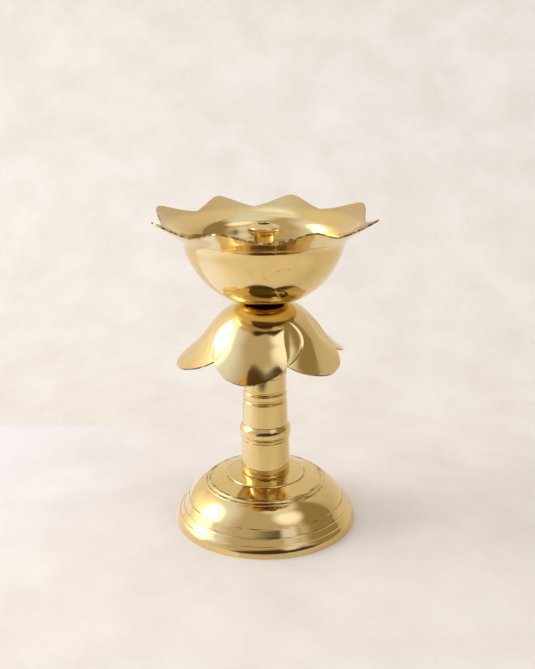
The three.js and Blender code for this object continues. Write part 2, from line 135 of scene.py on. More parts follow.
class DiyaBaseSizes(bpy.types.PropertyGroup):
    """The cast base, from its rim to its crown; heights are above the table."""

    rim: ring("Rim", "Outer edge on the table", 50.0, 0.0)
    rim_edge: length("Rim edge", "Height of the upright edge under the lip", 0.9)
    rim_land: length("Rim land", "Width of the flat ring that the lamp stands on", 3.0)
    lip_top: ring("Lip top", "Crisp upper edge of the lip", 48.2, 5.9)
    lip_bulge: length("Lip bulge", "How proud the lip's face stands", 0.4)
    lip_ledge: length("Lip ledge", "Width of the ledge behind the lip's edge", 0.5)
    band_top: ring("Band top", "Upper edge of the lower band", 45.8, 8.8)
    groove: length("Groove", "Width of the turned groove between the bands", 0.8)
    upper_band_top: ring("Upper band top", "Upper edge of the upper band", 43.1, 13.2)
    step: length("Step", "Small step between the upper band and the dome", 0.35)
    dome_top: ring("Dome top", "Outer foot of the first fine bead", 33.55, 21.88)
    dome_bulge: length("Dome bulge", "How proud the dome's face stands", 0.8)
    second_bead: ring("Second bead", "Outer foot of the second fine bead", 31.5, 23.18)
    bead_width: length("Bead width", "Width of each fine bead", 0.8)
    bead_rise: length("Bead rise", "Rise across each fine bead", 0.45)
    crown_bead: ring("Crown bead", "Outer foot of the bead on the crown", 21.35, 26.4)
    crown_bead_width: length("Crown bead width", "Width of the bead on the crown", 1.2)
    crown_bead_rise: length("Crown bead rise", "Rise across the bead on the crown", 0.35)
    bead_bulge: length("Bead bulge", "How proud the three beads stand", 0.34)
    seat: length("Seat", "Radius of the flat ring that the stem stands on", 13.8)
    wall: length("Wall", "Thickness of the casting", 2.6)
    boss_radius: length("Boss radius", "Radius of the boss that the rod passes through", 9.0)
    boss_height: length("Boss height", "Height of that boss", 5.4)


class DiyaStemSizes(bpy.types.PropertyGroup):
    """The turned stem; heights are above the table."""

    foot: ring("Foot", "Where the stem meets the base", 12.8, 27.6)
    foot_top: ring("Foot top", "Where the foot's rounding meets the barrel", 13.4, 30.3)
    barrel_top: ring("Barrel top", "Upper edge of the barrel", 13.0, 47.5)
    low_bead_top: ring("Low bead top", "Where the two beads meet", 13.4, 49.7)
    main_bead_top: ring("Main bead top", "Upper edge of the main bead", 13.4, 55.1)
    taper_foot: ring("Taper foot", "Lower end of the taper", 12.4, 56.6)
    taper_top: ring("Taper top", "Upper end of the taper", 12.0, 69.6)
    ridge_foot: ring("Ridge foot", "Lower edge of the ridge between the coves", 11.9, 72.0)
    ridge_top: ring("Ridge top", "Upper edge of that ridge", 11.9, 74.35)
    neck_foot: ring("Neck foot", "Lower end of the neck", 11.7, 76.75)
    neck_top: ring("Neck top", "Upper end of the neck", 11.4, 83.85)
    collar_top: ring("Collar top", "Upper edge of the collar", 11.4, 87.1)
    shank: ring("Shank", "Top of the shank inside the lower petals", 8.5, 124.1)
    wall: length("Wall", "Thickness of the tube", 3.0)
    web: length("Web", "Thickness of the solid ends", 6.0)


class DiyaPetalSizes(bpy.types.PropertyGroup):
    """The lower petals, pressed from one sheet; heights are above the table."""

    wall: length("Wall", "Thickness of the sheet", 1.0)
    flat: ring("Flat", "Edge of the flat top", 8.8, 125.1)
    shoulder: ring("Shoulder", "Where the shoulder ends", 29.5, 111.1)
    flare: ring("Flare", "Where the slopes of shoulder and tips would meet", 35.6, 101.4)
    tip: ring("Tip", "Tip of the longest petal", 47.6, 93.3)
    tip_radii: lengths(
        "Tip radii", "Radius of the tip after each notch", (46.4, 45.5, 44.3, 45.6, 45.8, 47.6)
    )
    notch_radius: length("Notch radius", "Radius of the notches between petals", 38.0)
    notches: angles("Notches", "Azimuth of each notch", (-42.5, 17.3, 80, 137, 195, 252))
    leans: angles("Leans", "How far each hollow's head leans from its notch", (-4, 15, -4, 5, -6, 3))
    half_widths: angles("Half widths", "Half width of each hollow", (12, 11, 11, 10, 12, 11))
    hollow_head: length("Hollow head", "Radius at which the hollows begin", 22.8)
    hollow_depth: length("Hollow depth", "Depth of the pressed hollows", 0.6)
    spacer_radius: length("Spacer radius", "Radius of the ring above the petals", 6.5)


class DiyaBowlSizes(bpy.types.PropertyGroup):
    """The lotus bowl; heights are above the table."""

    wall: length("Wall", "Thickness of the sheet", 1.0)
    flat: ring("Flat", "Edge of the flat underside", 9.3, 125.9)
    bend: ring("Bend", "Where the deep wall turns out into the petals", 42.7, 158.1)
    flare: ring("Flare", "Foot of the straight petals", 47.3, 162.1)
    tip: ring("Tip", "Tip of a petal", 60.9, 171.2)
    notch_radius: length("Notch radius", "Radius of the notches between petals", 52.6)
    notches: angles(
        "Notches", "Azimuth of each notch", (2, 43, 93, 143.5, 186.3, 225.2, 274, 317.7)
    )


class DiyaWickSizes(bpy.types.PropertyGroup):
    """The wick plate and the wick holder, which both lift out."""

    plate_top: ring("Plate top", "Outer edge of the plate's rim", 38.65, 150.2)
    plate_foot_radius: length("Plate foot radius", "Outer radius of the rim's underside", 38.13)
    plate_wall: length("Plate wall", "Thickness of the plate", 1.2)
    plate_rim: length("Plate rim", "Width of the plate's flat rim", 2.0)
    plate_floor: ring("Plate floor", "Edge of the dished floor", 34.65, 147.0)
    boss: ring("Boss", "Lower edge of the plate's boss", 7.5, 141.4)
    bore: length("Bore", "Radius of the wick's bore", 3.3)
    head: ring("Head", "Lower edge of the holder's head", 8.35, 162.2)
    head_thickness: length("Head thickness", "Height of the head's edge", 2.6)
    head_cone: length("Head cone", "Rise of the head's top to its mouth", 1.45)
    head_edge: length("Head edge", "Width of the bevels round the head", 0.45)
    neck: length("Neck", "Radius of the neck under the head", 5.4)
    spigot: ring("Spigot", "Foot of the spigot in the plate", 4.2, 140.8)
    clearance: length("Clearance", "Gap between each lift-out piece and its seat", 0.4)


class DiyaLooks(bpy.types.PropertyGroup):
    """Colours of the metal, and of the studio."""

    brass: colour("Brass", "Clean polished brass", "#E7CE90")
    brass_warm: colour("Warm brass", "Brass where the polish has worn", "#E0C27D")
    brass_dull: colour("Dull brass", "Brass that is wiped but no longer polished", "#CBB27C")
    tarnish: colour("Tarnish", "Pits, nicks and grooves that the polish left", "#54401F")
    zinc: colour("Zinc", "Zinc plating on the steel fixings", "#C3C5C8")
    fibre: colour("Fibre", "Red vulcanised fibre", "#7A2F22")
    plaster: colour("Plaster", "Pale plaster of the floor and wall", "#E6E0D9")
    plaster_shade: colour("Plaster shade", "Hollows of the plaster", "#DDD6CE")
    studio: colour("Studio", "Pale walls and ceiling of the studio", "#E4E2DF")
    # The glow of the tent where no reflection is painted on it
    tent: colour("Tent", "Cream cloth of the light tent round the lamp", "#E2DDDC")


# Outlines, as lists of (radius, height)


def bulged(start, end, rise, steps):
    """Points on an arc from start to end that stands proud by its rise, to the right of the way."""
    a = Vector(start)
    chord = Vector(end) - a
    half = chord.length / 2
    radius = (half * half + rise * rise) / (2 * abs(rise))
    sweep = 2 * math.asin(min(1.0, half / radius))
    along = chord.normalized()
    proud = Vector((along.y, -along.x)) * math.copysign(1, rise)
    points = []
    for step in range(steps + 1):
        angle = sweep * (step / steps - 0.5)
        forward = half + radius * math.sin(angle)
        sideways = radius * math.cos(angle) - (radius - abs(rise))
        points.append(tuple(a + along * forward + proud * sideways))
    return points


def swept(start, meeting, end, steps):
    """Points of a curve that leaves start and reaches end along the lines to their meeting point."""
    a, b, c = Vector(start), Vector(meeting), Vector(end)
    shares = [step / steps for step in range(steps + 1)]
    return [tuple(a * (1 - t) ** 2 + b * 2 * t * (1 - t) + c * t * t) for t in shares]


def moved(point, outwards, upwards):
    return (point[0] + outwards, point[1] + upwards)


def halfway(a, b):
    return ((a[0] + b[0]) / 2, (a[1] + b[1]) / 2)


class Outline:
    """A smooth line through (radius, height) points, read by its share of the way, from 0 to 1."""

    STEPS = 24
    SAMPLES = 800

    def __init__(self, points):
        ends = [Vector(point) for point in points]
        ends = [2 * ends[0] - ends[1], *ends, 2 * ends[-1] - ends[-2]]
        way = []
        for before, a, b, after in zip(ends, ends[1:], ends[2:], ends[3:]):
            for step in range(self.STEPS):
                t = step / self.STEPS
                rising = (b - before) * t
                turning = (2 * before - 5 * a + 4 * b - after) * t**2
                settling = (3 * a - before - 3 * b + after) * t**3
                way.append(a + (rising + turning + settling) / 2)
        way.append(ends[-2])
        reach = [0.0]
        for a, b in zip(way, way[1:]):
            reach.append(reach[-1] + (b - a).length)
        self.points = []
        place = 0
        for sample in range(self.SAMPLES + 1):
            wanted = reach[-1] * sample / self.SAMPLES
            while place < len(way) - 2 and reach[place + 1] < wanted:
                place += 1
            share = (wanted - reach[place]) / (reach[place + 1] - reach[place])
            self.points.append(way[place].lerp(way[place + 1], share))

    def at(self, share):
        place = min(max(share, 0.0), 1.0) * self.SAMPLES
        low = min(int(place), self.SAMPLES - 1)
        return self.points[low].lerp(self.points[low + 1], place - low)

    def behind(self, share, depth, side):
        """A point `depth` to the left of the way where side is 1, and to its right where it is -1."""
        near = 0.004
        along = (self.at(share + near) - self.at(share - near)).normalized()
        return self.at(share) + Vector((-along.y, along.x)) * depth * side

    def share_of_radius(self, radius):
        low, high = 0.0, 1.0
        for _ in range(24):
            middle = (low + high) / 2
            if self.at(middle).x < radius:
                low = middle
            else:
                high = middle
        return (low + high) / 2


# Making pieces


def finished(name, body, node, mesh, material):
    """An object of a bmesh, smooth, riding on its body and standing for its CAD node."""
    for face in mesh.faces:
        face.smooth = True
    data = bpy.data.meshes.new(name)
    mesh.to_mesh(data)
    mesh.free()
    data.materials.append(material)
    piece = bpy.data.objects.new(name, data)
    bpy.context.scene.collection.objects.link(piece)
    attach(piece, body)
    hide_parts(node)
    return piece


def round_corners(mesh, corners, offset, segments):
    bmesh.ops.bevel(
        mesh,
        geom=corners,
        offset=offset,
        offset_type="OFFSET",
        segments=segments,
        profile=0.5,
        affect="VERTICES",
        clamp_overlap=True,
        material=-1,
    )


def turn_round(mesh, steps):
    """Spins all there is once round the lamp's axis."""
    bmesh.ops.spin(
        mesh,
        geom=mesh.verts[:] + mesh.edges[:],
        cent=(0, 0, 0),
        axis=(0, 0, 1),
        angle=2 * math.pi,
        steps=steps,
        use_merge=True,
    )


def spun(outline, steps, easing):
    """A bmesh turned from a closed outline, with its corners eased and its rows close together."""
    mesh = bmesh.new()
    points = [mesh.verts.new((radius, 0.0, height)) for radius, height in outline]
    for a, b in zip(points, points[1:] + points[:1]):
        mesh.edges.new((a, b))
    bmesh.ops.remove_doubles(mesh, verts=mesh.verts, dist=MERGE_DISTANCE)
    corners = [point for point in mesh.verts if point.calc_edge_angle(0.0) > CORNER_ANGLE]
    round_corners(mesh, corners, easing, segments=3)
    for edge in [edge for edge in mesh.edges if edge.calc_length() > ROW_SPACING]:
        cuts = int(edge.calc_length() / ROW_SPACING)
        bmesh.ops.subdivide_edges(mesh, edges=[edge], cuts=cuts)
    turn_round(mesh, steps)
    bmesh.ops.remove_doubles(mesh, verts=mesh.verts, dist=MERGE_DISTANCE)
    bmesh.ops.recalc_face_normals(mesh, faces=mesh.faces)
    return mesh


def pressed(rows, columns, place):
    """A round blank, spun from a row of points, that place(row, column) presses into its shape."""
    mesh = bmesh.new()
    points = [mesh.verts.new((1.0 + row, 0.0, 0.0)) for row in range(rows + 1)]
    for a, b in zip(points, points[1:]):
        mesh.edges.new((a, b))
    turn_round(mesh, columns)
    for vert in mesh.verts:
        row = round(vert.co.xy.length - 1.0)
        column = round(math.atan2(vert.co.x, -vert.co.y) / (2 * math.pi) * columns) % columns
        vert.co = place(row, column)
    return mesh


def facing(mesh, upwards):
    """Turns a sheet's faces so that its flat middle faces up, or down."""
    bmesh.ops.recalc_face_normals(mesh, faces=mesh.faces)
    middle = min(mesh.faces, key=lambda face: face.calc_center_median().xy.length)
    if (middle.normal.z > 0) != upwards:
        bmesh.ops.reverse_faces(mesh, faces=mesh.faces)


def give_wall(piece, wall):
    """Thickens a sheet behind its faces, and rounds its cut edge."""
    solidify = piece.modifiers.new("Wall", "SOLIDIFY")
    solidify.thickness = wall
    solidify.offset = -1
    solidify.use_even_offset = True
    solidify.material_offset_rim = 1
    piece.data.materials.append(cut_edge_brass())
    bevel = piece.modifiers.new("Cut edge", "BEVEL")
    bevel.width = EDGE_ROUNDING
    bevel.segments = 2
    bevel.limit_method = "ANGLE"
    bevel.angle_limit = math.radians(50)
    bevel.harden_normals = True


def on_circle(radius, azimuth, height):
    return Vector((radius * math.sin(azimuth), -radius * math.cos(azimuth), height))


def petal_sectors(notches):
    """Each notch with the petal tips on its two sides."""
    turn = 2 * math.pi
    before = [notches[-1] - turn, *notches[:-1]]
    after = [*notches[1:], notches[0] + turn]
    return [(notch, (low + notch) / 2, (notch + high) / 2)
            for low, notch, high in zip(before, notches, after)]


# The cast base


def base_outline(sizes):
    band_foot = moved(sizes.lip_top, -sizes.lip_ledge, 0)
    groove_foot = moved(sizes.band_top, -sizes.groove / 2, 0)
    groove_top = moved(sizes.band_top, -sizes.groove, sizes.groove)
    dome_foot = moved(sizes.upper_band_top, -sizes.step, sizes.step / 2)
    first_top = moved(sizes.dome_top, -sizes.bead_width, sizes.bead_rise)
    second_top = moved(sizes.second_bead, -sizes.bead_width, sizes.bead_rise)
    crown_inner = moved(sizes.crown_bead, -sizes.crown_bead_width, sizes.crown_bead_rise)
    rim_top = moved(sizes.rim, 0, sizes.rim_edge)
    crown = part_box("base")[1].z
    outside = [
        sizes.rim,
        *bulged(rim_top, sizes.lip_top, rise=sizes.lip_bulge, steps=8),
        band_foot,
        sizes.band_top,
        groove_foot,
        groove_top,
        sizes.upper_band_top,
        *bulged(dome_foot, sizes.dome_top, rise=sizes.dome_bulge, steps=24),
        *bulged(sizes.dome_top, first_top, rise=sizes.bead_bulge, steps=10),
        *bulged(sizes.second_bead, second_top, rise=sizes.bead_bulge, steps=10),
        *bulged(sizes.crown_bead, crown_inner, rise=sizes.bead_bulge, steps=10),
        (sizes.seat, crown),
        (ROD_HOLE, crown),
    ]
    inner_bead = moved(second_top, -sizes.wall / 2, -sizes.wall)
    inner_dome = moved(dome_foot, -sizes.wall / 2, -sizes.wall)
    inside = [
        (ROD_HOLE, crown - sizes.boss_height),
        (sizes.boss_radius, crown - sizes.boss_height),
        (sizes.boss_radius, crown_inner[1] - sizes.wall),
        moved(crown_inner, -sizes.wall / 2, -sizes.wall),
        *reversed(bulged(inner_dome, inner_bead, rise=sizes.dome_bulge, steps=20)),
        moved(groove_top, -sizes.wall / 2, -sizes.wall),
        (sizes.lip_top[0] - sizes.wall, sizes.lip_top[1] / 2),
        moved(sizes.rim, -sizes.rim_land, 0),
    ]
    return outside + inside


class DIYA_OT_base(bpy.types.Operator):
    """Makes the stepped and domed base"""

    bl_idname = "diya.base"
    bl_label = "Base"

    def execute(self, context):
        outline = base_outline(context.scene.diya_base)
        mesh = spun(outline, BASE_STEPS, easing=0.22 * MM)
        finished("base_casting", STAND, "base", mesh, cast_brass())
        return {"FINISHED"}


# The turned stem


def stem_outline(sizes):
    bottom = sizes.foot[1]
    top = sizes.shank[1]
    core = sizes.shank[0] - sizes.wall
    outside = [
        *bulged(sizes.foot, sizes.foot_top, rise=0.2 * MM, steps=8),
        *bulged(sizes.foot_top, sizes.barrel_top, rise=0.2 * MM, steps=24),
        *bulged(sizes.barrel_top, sizes.low_bead_top, rise=0.35 * MM, steps=8),
        *bulged(sizes.low_bead_top, sizes.main_bead_top, rise=0.6 * MM, steps=16),
        sizes.taper_foot,
        sizes.taper_top,
        *bulged(sizes.taper_top, sizes.ridge_foot, rise=-0.55 * MM, steps=10),
        sizes.ridge_top,
        *bulged(sizes.ridge_top, sizes.neck_foot, rise=-0.55 * MM, steps=10),
        sizes.neck_top,
        *bulged(sizes.neck_top, sizes.collar_top, rise=0.5 * MM, steps=12),
        (sizes.shank[0], sizes.collar_top[1]),
        sizes.shank,
        (ROD_HOLE, top),
    ]
    inside = [
        (ROD_HOLE, top - sizes.web),
        (core, top - sizes.web),
        (core, sizes.neck_top[1]),
        (sizes.taper_top[0] - sizes.wall, sizes.taper_top[1]),
        (sizes.barrel_top[0] - sizes.wall, sizes.barrel_top[1]),
        (sizes.foot_top[0] - sizes.wall, bottom + sizes.web),
        (ROD_HOLE, bottom + sizes.web),
        (ROD_HOLE, bottom),
    ]
    return outside + inside


class DIYA_OT_stem(bpy.types.Operator):
    """Makes the stem, with its beads, taper, coves and collar"""

    bl_idname = "diya.stem"
    bl_label = "Stem"

    def execute(self, context):
        mesh = spun(stem_outline(context.scene.diya_stem), STEM_STEPS, easing=0.18 * MM)
        finished("stem_turning", STAND, "stem", mesh, turned_brass())
        return {"FINISHED"}


# The lower petals and the ring above them


class DIYA_OT_petals(bpy.types.Operator):
    """Makes the six down-turned petals and the ring that spaces them from the bowl"""

    bl_idname = "diya.petals"
    bl_label = "Lower petals"

    HALF_PETAL = 22
    HOLLOW = 20
    ROWS = 56
    ROUNDNESS = 1.8
    LEAST_HALF_WIDTH = math.radians(1)  # of a hollow, at its two ends
    WIDEST = 0.75  # under 1, a hollow is widest above its middle
    LEAN_FALL = 3  # how late a hollow swings back to its notch
    CREASE = 4  # how crisp a hollow's two edges are

    def execute(self, context):
        sizes = context.scene.diya_petals
        top = sizes.flat[1]
        level = (halfway(sizes.flat, sizes.shoulder)[0], top)
        outline = Outline(
            swept(sizes.flat, level, sizes.shoulder, steps=6)
            + swept(sizes.shoulder, sizes.flare, sizes.tip, steps=6)[1:]
        )
        head = outline.share_of_radius(sizes.hollow_head)
        foot = outline.share_of_radius(sizes.notch_radius)
        sectors = petal_sectors(list(sizes.notches))
        per_sector = 2 * self.HALF_PETAL + self.HOLLOW

        def along(share):
            return min(max((share - head) / (foot - head), 0.0), 1.0)

        def column_at(column, share):
            """The azimuth and the depth of a column at a share of the way to the rim."""
            index, place = divmod(column, per_sector)
            notch, before, after = sectors[index]
            middle = notch + sizes.leans[index] * (1 - along(share) ** self.LEAN_FALL)
            swell = math.sin(math.pi * along(share) ** self.WIDEST)
            least = self.LEAST_HALF_WIDTH
            half = least + (sizes.half_widths[index] - least) * swell
            if place < self.HALF_PETAL:
                part = place / self.HALF_PETAL
                return before + (middle - half - before) * part, 0.0
            if place < self.HALF_PETAL + self.HOLLOW:
                across = 2 * (place - self.HALF_PETAL) / self.HOLLOW - 1
                deep = sizes.hollow_depth * swell
                return middle + half * across, deep * (1 - across**self.CREASE)
            part = (per_sector - place) / self.HALF_PETAL
            return after + (middle + half - after) * part, 0.0

        def rim_share(column):
            index = column // per_sector
            notch, before, after = sectors[index]
            azimuth = column_at(column, 1.0)[0]
            tip, petal = (before, index - 1) if azimuth < notch else (after, index)
            tip_radius = sizes.tip_radii[petal % len(sectors)]
            fall = abs((azimuth - tip) / (notch - tip)) ** self.ROUNDNESS
            radius = tip_radius + (sizes.notch_radius - tip_radius) * fall
            return outline.share_of_radius(radius + filed(azimuth))

        rims = [rim_share(column) for column in range(per_sector * len(sectors))]
        longest = max(rims)

        def place(row, column):
            if row == 0:
                return on_circle(ROD_HOLE, column_at(column, 0.0)[0], top)
            part = (row - 1) / (self.ROWS - 1)
            share = part * (longest + (rims[column] - longest) * part**RIM_BLEND)
            azimuth, depth = column_at(column, share)
            radius, height = outline.behind(share, depth, -1)
            return on_circle(radius, azimuth, height if row > 1 else top)

        mesh = pressed(self.ROWS, len(rims), place)
        facing(mesh, upwards=True)
        piece = finished(
            "lower_petal_sheet", STAND, "lower_petals", mesh, sheet_brass()
        )
        give_wall(piece, sizes.wall)
        self.make_ring(sizes)
        return {"FINISHED"}

    def make_ring(self, sizes):
        low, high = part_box("spacer_ring")[0].z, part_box("spacer_ring")[1].z
        radius = sizes.spacer_radius
        outline = [(ROD_HOLE, low), (radius, low), (radius, high), (ROD_HOLE, high)]
        mesh = spun(outline, SMALL_STEPS, easing=0.2 * MM)
        finished("spacer_turning", STAND, "spacer_ring", mesh, turned_brass())


def filed(azimuth):
    """How far a file wandered off the rim's line at an azimuth, in long and in short waves."""
    wander = 0.0
    for waves, seed, depth in ((9, 3.7, 0.16 * MM), (45, 8.1, 0.08 * MM)):
        place = Vector((math.sin(azimuth) * waves, math.cos(azimuth) * waves, seed))
        wander += depth * noise.noise(place)
    return wander


# The lotus bowl


class DIYA_OT_bowl(bpy.types.Operator):
    """Makes the bowl, whose flared rim is cut into petals"""

    bl_idname = "diya.bowl"
    bl_label = "Lotus bowl"

    HALF_PETAL = 24
    ROWS = 64
    WALL_STEPS = 8
    SWEEP = math.radians(72)  # how far the wall has turned up where it bends out
    SOFTNESS = 0.22  # how blunt the petals' tips are

    def outline(self, sizes):
        across = (sizes.bend[0] - sizes.flat[0]) / math.sin(self.SWEEP)
        up = (sizes.bend[1] - sizes.flat[1]) / (1 - math.cos(self.SWEEP))
        wall = []
        for step in range(self.WALL_STEPS + 1):
            angle = self.SWEEP * step / self.WALL_STEPS
            wall.append(moved(sizes.flat, across * math.sin(angle), up * (1 - math.cos(angle))))
        return Outline([*wall, sizes.flare, halfway(sizes.flare, sizes.tip), sizes.tip])

    def soften(self, share):
        return math.hypot(share, self.SOFTNESS) - self.SOFTNESS

    def execute(self, context):
        sizes = context.scene.diya_bowl
        outline = self.outline(sizes)
        sectors = petal_sectors(list(sizes.notches))
        per_sector = 2 * self.HALF_PETAL
        bottom = sizes.flat[1]

        def azimuth_of(column):
            index, place = divmod(column, per_sector)
            notch, before, after = sectors[index]
            if place < self.HALF_PETAL:
                return before + (notch - before) * place / self.HALF_PETAL
            return notch + (after - notch) * (place / self.HALF_PETAL - 1)

        def rim_share(column):
            """How far out a column's rim lies, on a straight side between a tip and a notch."""
            index, place = divmod(column, per_sector)
            notch, before, after = sectors[index]
            whole = abs(notch - (before if place < self.HALF_PETAL else after))
            from_tip = min(place, per_sector - place) / self.HALF_PETAL
            turn = whole * self.soften(from_tip) / self.soften(1)
            closeness = math.sin(whole - turn) / sizes.tip[0] + math.sin(turn) / sizes.notch_radius
            radius = math.sin(whole) / closeness + filed(azimuth_of(column) + 1.3)
            return outline.share_of_radius(radius)

        rims = [rim_share(column) for column in range(per_sector * len(sectors))]
        longest = max(rims)

        def place(row, column):
            azimuth = azimuth_of(column)
            if row == 0:
                return on_circle(ROD_HOLE, azimuth, bottom)
            part = (row - 1) / (self.ROWS - 1)
            share = part * (longest + (rims[column] - longest) * part**RIM_BLEND)
            point = outline.at(share)
            return on_circle(point.x, azimuth, point.y if row > 1 else bottom)

        mesh = pressed(self.ROWS, len(rims), place)
        facing(mesh, upwards=False)
        piece = finished("lotus_bowl_sheet", STAND, "bowl", mesh, bowl_brass())
        give_wall(piece, sizes.wall)
        return {"FINISHED"}


# The wick plate and the wick holder


class DIYA_OT_wick(bpy.types.Operator):
    """Makes the wick plate and the wick holder, which lift out of the bowl"""

    bl_idname = "diya.wick"
    bl_label = "Wick plate and holder"

    def execute(self, context):
        sizes = context.scene.diya_wick
        self.make_plate(sizes)
        self.make_holder(sizes)
        return {"FINISHED"}

    def make_plate(self, sizes):
        wall = sizes.plate_wall
        top = sizes.plate_top[1]
        lip = sizes.plate_top[0] - sizes.plate_rim
        hole = sizes.spigot[0] + sizes.clearance
        floor_radius, floor = sizes.plate_floor
        outline = [
            (hole, sizes.boss[1]),
            sizes.boss,
            (sizes.boss[0], floor - wall),
            *bulged((floor_radius, floor - wall), (lip, top - wall), rise=0.6 * MM, steps=10),
            (sizes.plate_foot_radius, top - wall),
            sizes.plate_top,
            *bulged((lip, top), (floor_radius, floor), rise=-0.6 * MM, steps=10),
            (hole, floor),
        ]
        mesh = spun(outline, BASE_STEPS, easing=0.15 * MM)
        finished("wick_plate_turning", PLATE, "wick_plate", mesh, turned_brass())

    def make_holder(self, sizes):
        foot = sizes.plate_floor[1] + sizes.clearance
        head_radius, head_foot = sizes.head
        head_top = head_foot + sizes.head_thickness
        edge = sizes.head_edge
        outline = [
            (sizes.bore, sizes.spigot[1]),
            sizes.spigot,
            (sizes.spigot[0], foot),
            (sizes.neck, foot),
            (sizes.neck, head_foot),
            (head_radius - edge, head_foot),
            (head_radius, head_foot + edge),
            (head_radius, head_top - edge),
            (head_radius - edge, head_top),
            (sizes.bore, head_top + sizes.head_cone),
        ]
        mesh = spun(outline, SMALL_STEPS, easing=0.28 * MM)
        finished("wick_holder_turning", HOLDER, "wick_holder", mesh, turned_brass())


# The hidden fixings, which stay as the frame has them


class DIYA_OT_fixings(bpy.types.Operator):
    """Finishes the nuts, the washers and the tie rod"""

    bl_idname = "diya.fixings"
    bl_label = "Fixings"

    def execute(self, context):
        steel = zinced_steel()
        for name in ("tie_rod", "base_nut", "base_washer", "bowl_nut"):
            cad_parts[name].material_slots[0].material = steel
        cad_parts["sealing_washer"].material_slots[0].material = red_fibre()
        return {"FINISHED"}


# Materials

COLOURS = {"data_type": "RGBA"}
LINE_DEPTH = 0.0006 * MM  # of the lines that lathe, wheel and cloth leave
PIT_SPACING = 2.4 * MM
LARGEST_PIT = 0.15  # its radius as a share of the pits' spacing
HAIRLINE_SPACING = 3.2 * MM
HAIRLINE_WIDTH = 0.055  # as a share of that spacing
# Half width of the dark line in each groove: polish left there, and painted shade
GROOVE_DARK_HALF_WIDTH = 0.16 * MM
PATCH_WIDTH = 11 * MM  # of the patches where pits and hairlines gather
CRUMB_WIDTH = 5 * MM  # of the crumbs of dark polish and painted shade in a groove


def add_node(tree, kind, settings=None, inputs=None):
    """Adds a shader node, sets it, and gives each input a value, a socket or a node's output."""
    node = tree.nodes.new("ShaderNode" + kind)
    for name, value in (settings or {}).items():
        setattr(node, name, value)
    for name, value in (inputs or {}).items():
        if isinstance(value, bpy.types.Node):
            value = next(output for output in value.outputs if output.enabled)
        if isinstance(value, bpy.types.NodeSocket):
            tree.links.new(value, node.inputs[name])
        else:
            node.inputs[name].default_value = value
    return node


def new_material(name):
    """The material of that name and, where it is new, its tree and the place on the piece."""
    if name in bpy.data.materials:
        return bpy.data.materials[name], None, None
    material = bpy.data.materials.new(name)
    material.use_nodes = True
    tree = material.node_tree
    tree.nodes.clear()
    return material, tree, add_node(tree, "TexCoord").outputs["Object"]


def polished(tree, place, wave_width, wave_height, haze, lines, pit_share, grooves=()):
    """The nodes of polished brass: worn tone, marks, slow waves, polishing lines and haze."""
    looks = bpy.context.scene.diya_looks
    # Worn patches are 22 mm wide and smudges 9 mm
    worn, waves, smudges = [
        add_node(tree, "TexNoise", {}, {"Vector": place, "Scale": 1 / width, "Detail": detail})
        for width, detail in ((22 * MM, 3.0), (wave_width, 1.0), (9 * MM, 4.0))
    ]
    tone = add_node(tree, "Mix", COLOURS, {"Factor": worn, "A": looks.brass, "B": looks.brass_warm})
    marks = polish_marks(tree, place, pit_share, grooves)
    spotted = add_node(tree, "Mix", COLOURS, {"Factor": marks, "A": tone, "B": looks.tarnish})
    wavy = add_node(tree, "Bump", {}, {"Strength": 1.0, "Distance": wave_height, "Height": waves})
    lined = add_node(tree, "Bump", {}, {
        "Strength": 1.0, "Distance": LINE_DEPTH, "Height": lines, "Normal": wavy,
    })
    rough = add_node(tree, "MapRange", {}, {
        "Value": smudges, "From Min": 0.35, "From Max": 0.7, "To Min": haze * 0.75,
        "To Max": haze * 1.5,
    })
    return spotted, rough, lined


def polish_marks(tree, place, pit_share, grooves):
    """How dark the pits, the hairlines and the grooves at these heights are; the grooves get dark
    polish and painted shade.
    """
    cells = add_node(tree, "TexVoronoi", {}, {"Vector": place, "Scale": 1 / PIT_SPACING})
    spread = add_node(tree, "TexNoise", {}, {
        "Vector": place, "Scale": 1 / PATCH_WIDTH, "Detail": 2.0,
    })
    pit_size = add_node(tree, "MapRange", {}, {
        "Value": spread, "From Min": 1 - pit_share, "From Max": 1 - pit_share / 2, "To Min": 0.0,
        "To Max": LARGEST_PIT,
    })
    marks = add_node(tree, "Math", {"operation": "LESS_THAN"}, {0: cells, 1: pit_size})
    slanted = add_node(tree, "Mapping", {}, {
        "Vector": place, "Rotation": (0.4, 0.9, 0.2), "Scale": (1.0, 1.0, 0.06),
    })
    scratched = add_node(tree, "TexVoronoi", {}, {"Vector": slanted, "Scale": 1 / HAIRLINE_SPACING})
    scratched = add_node(tree, "Math", {"operation": "LESS_THAN"}, {
        0: scratched, 1: HAIRLINE_WIDTH,
    })
    faint = add_node(tree, "MapRange", {}, {
        "Value": spread, "From Min": 0.45, "From Max": 0.7, "To Min": 0.0, "To Max": 0.3,
    })
    scratches = add_node(tree, "Math", {"operation": "MULTIPLY"}, {0: scratched, 1: faint})
    marks = add_node(tree, "Math", {"operation": "MAXIMUM"}, {0: marks, 1: scratches})
    if not grooves:
        return marks
    # Dark crumbly lines at the grooves' heights: polish left in them, and painted shade
    height = add_node(tree, "SeparateXYZ", {}, {"Vector": place}).outputs["Z"]
    crumbs = add_node(tree, "TexNoise", {}, {
        "Vector": place, "Scale": 1 / CRUMB_WIDTH, "Detail": 3.0,
    })
    groove_darkening = add_node(tree, "MapRange", {}, {
        "Value": crumbs, "From Min": 0.44, "From Max": 0.62, "To Min": 0.1, "To Max": 0.8,
    })
    for groove in grooves:
        inside = add_node(tree, "Math", {"operation": "COMPARE"}, {
            0: height, 1: groove, 2: GROOVE_DARK_HALF_WIDTH,
        })
        darkened_groove = add_node(tree, "Math", {"operation": "MULTIPLY"}, {0: inside, 1: groove_darkening})
        marks = add_node(tree, "Math", {"operation": "MAXIMUM"}, {0: marks, 1: darkened_groove})
    return marks


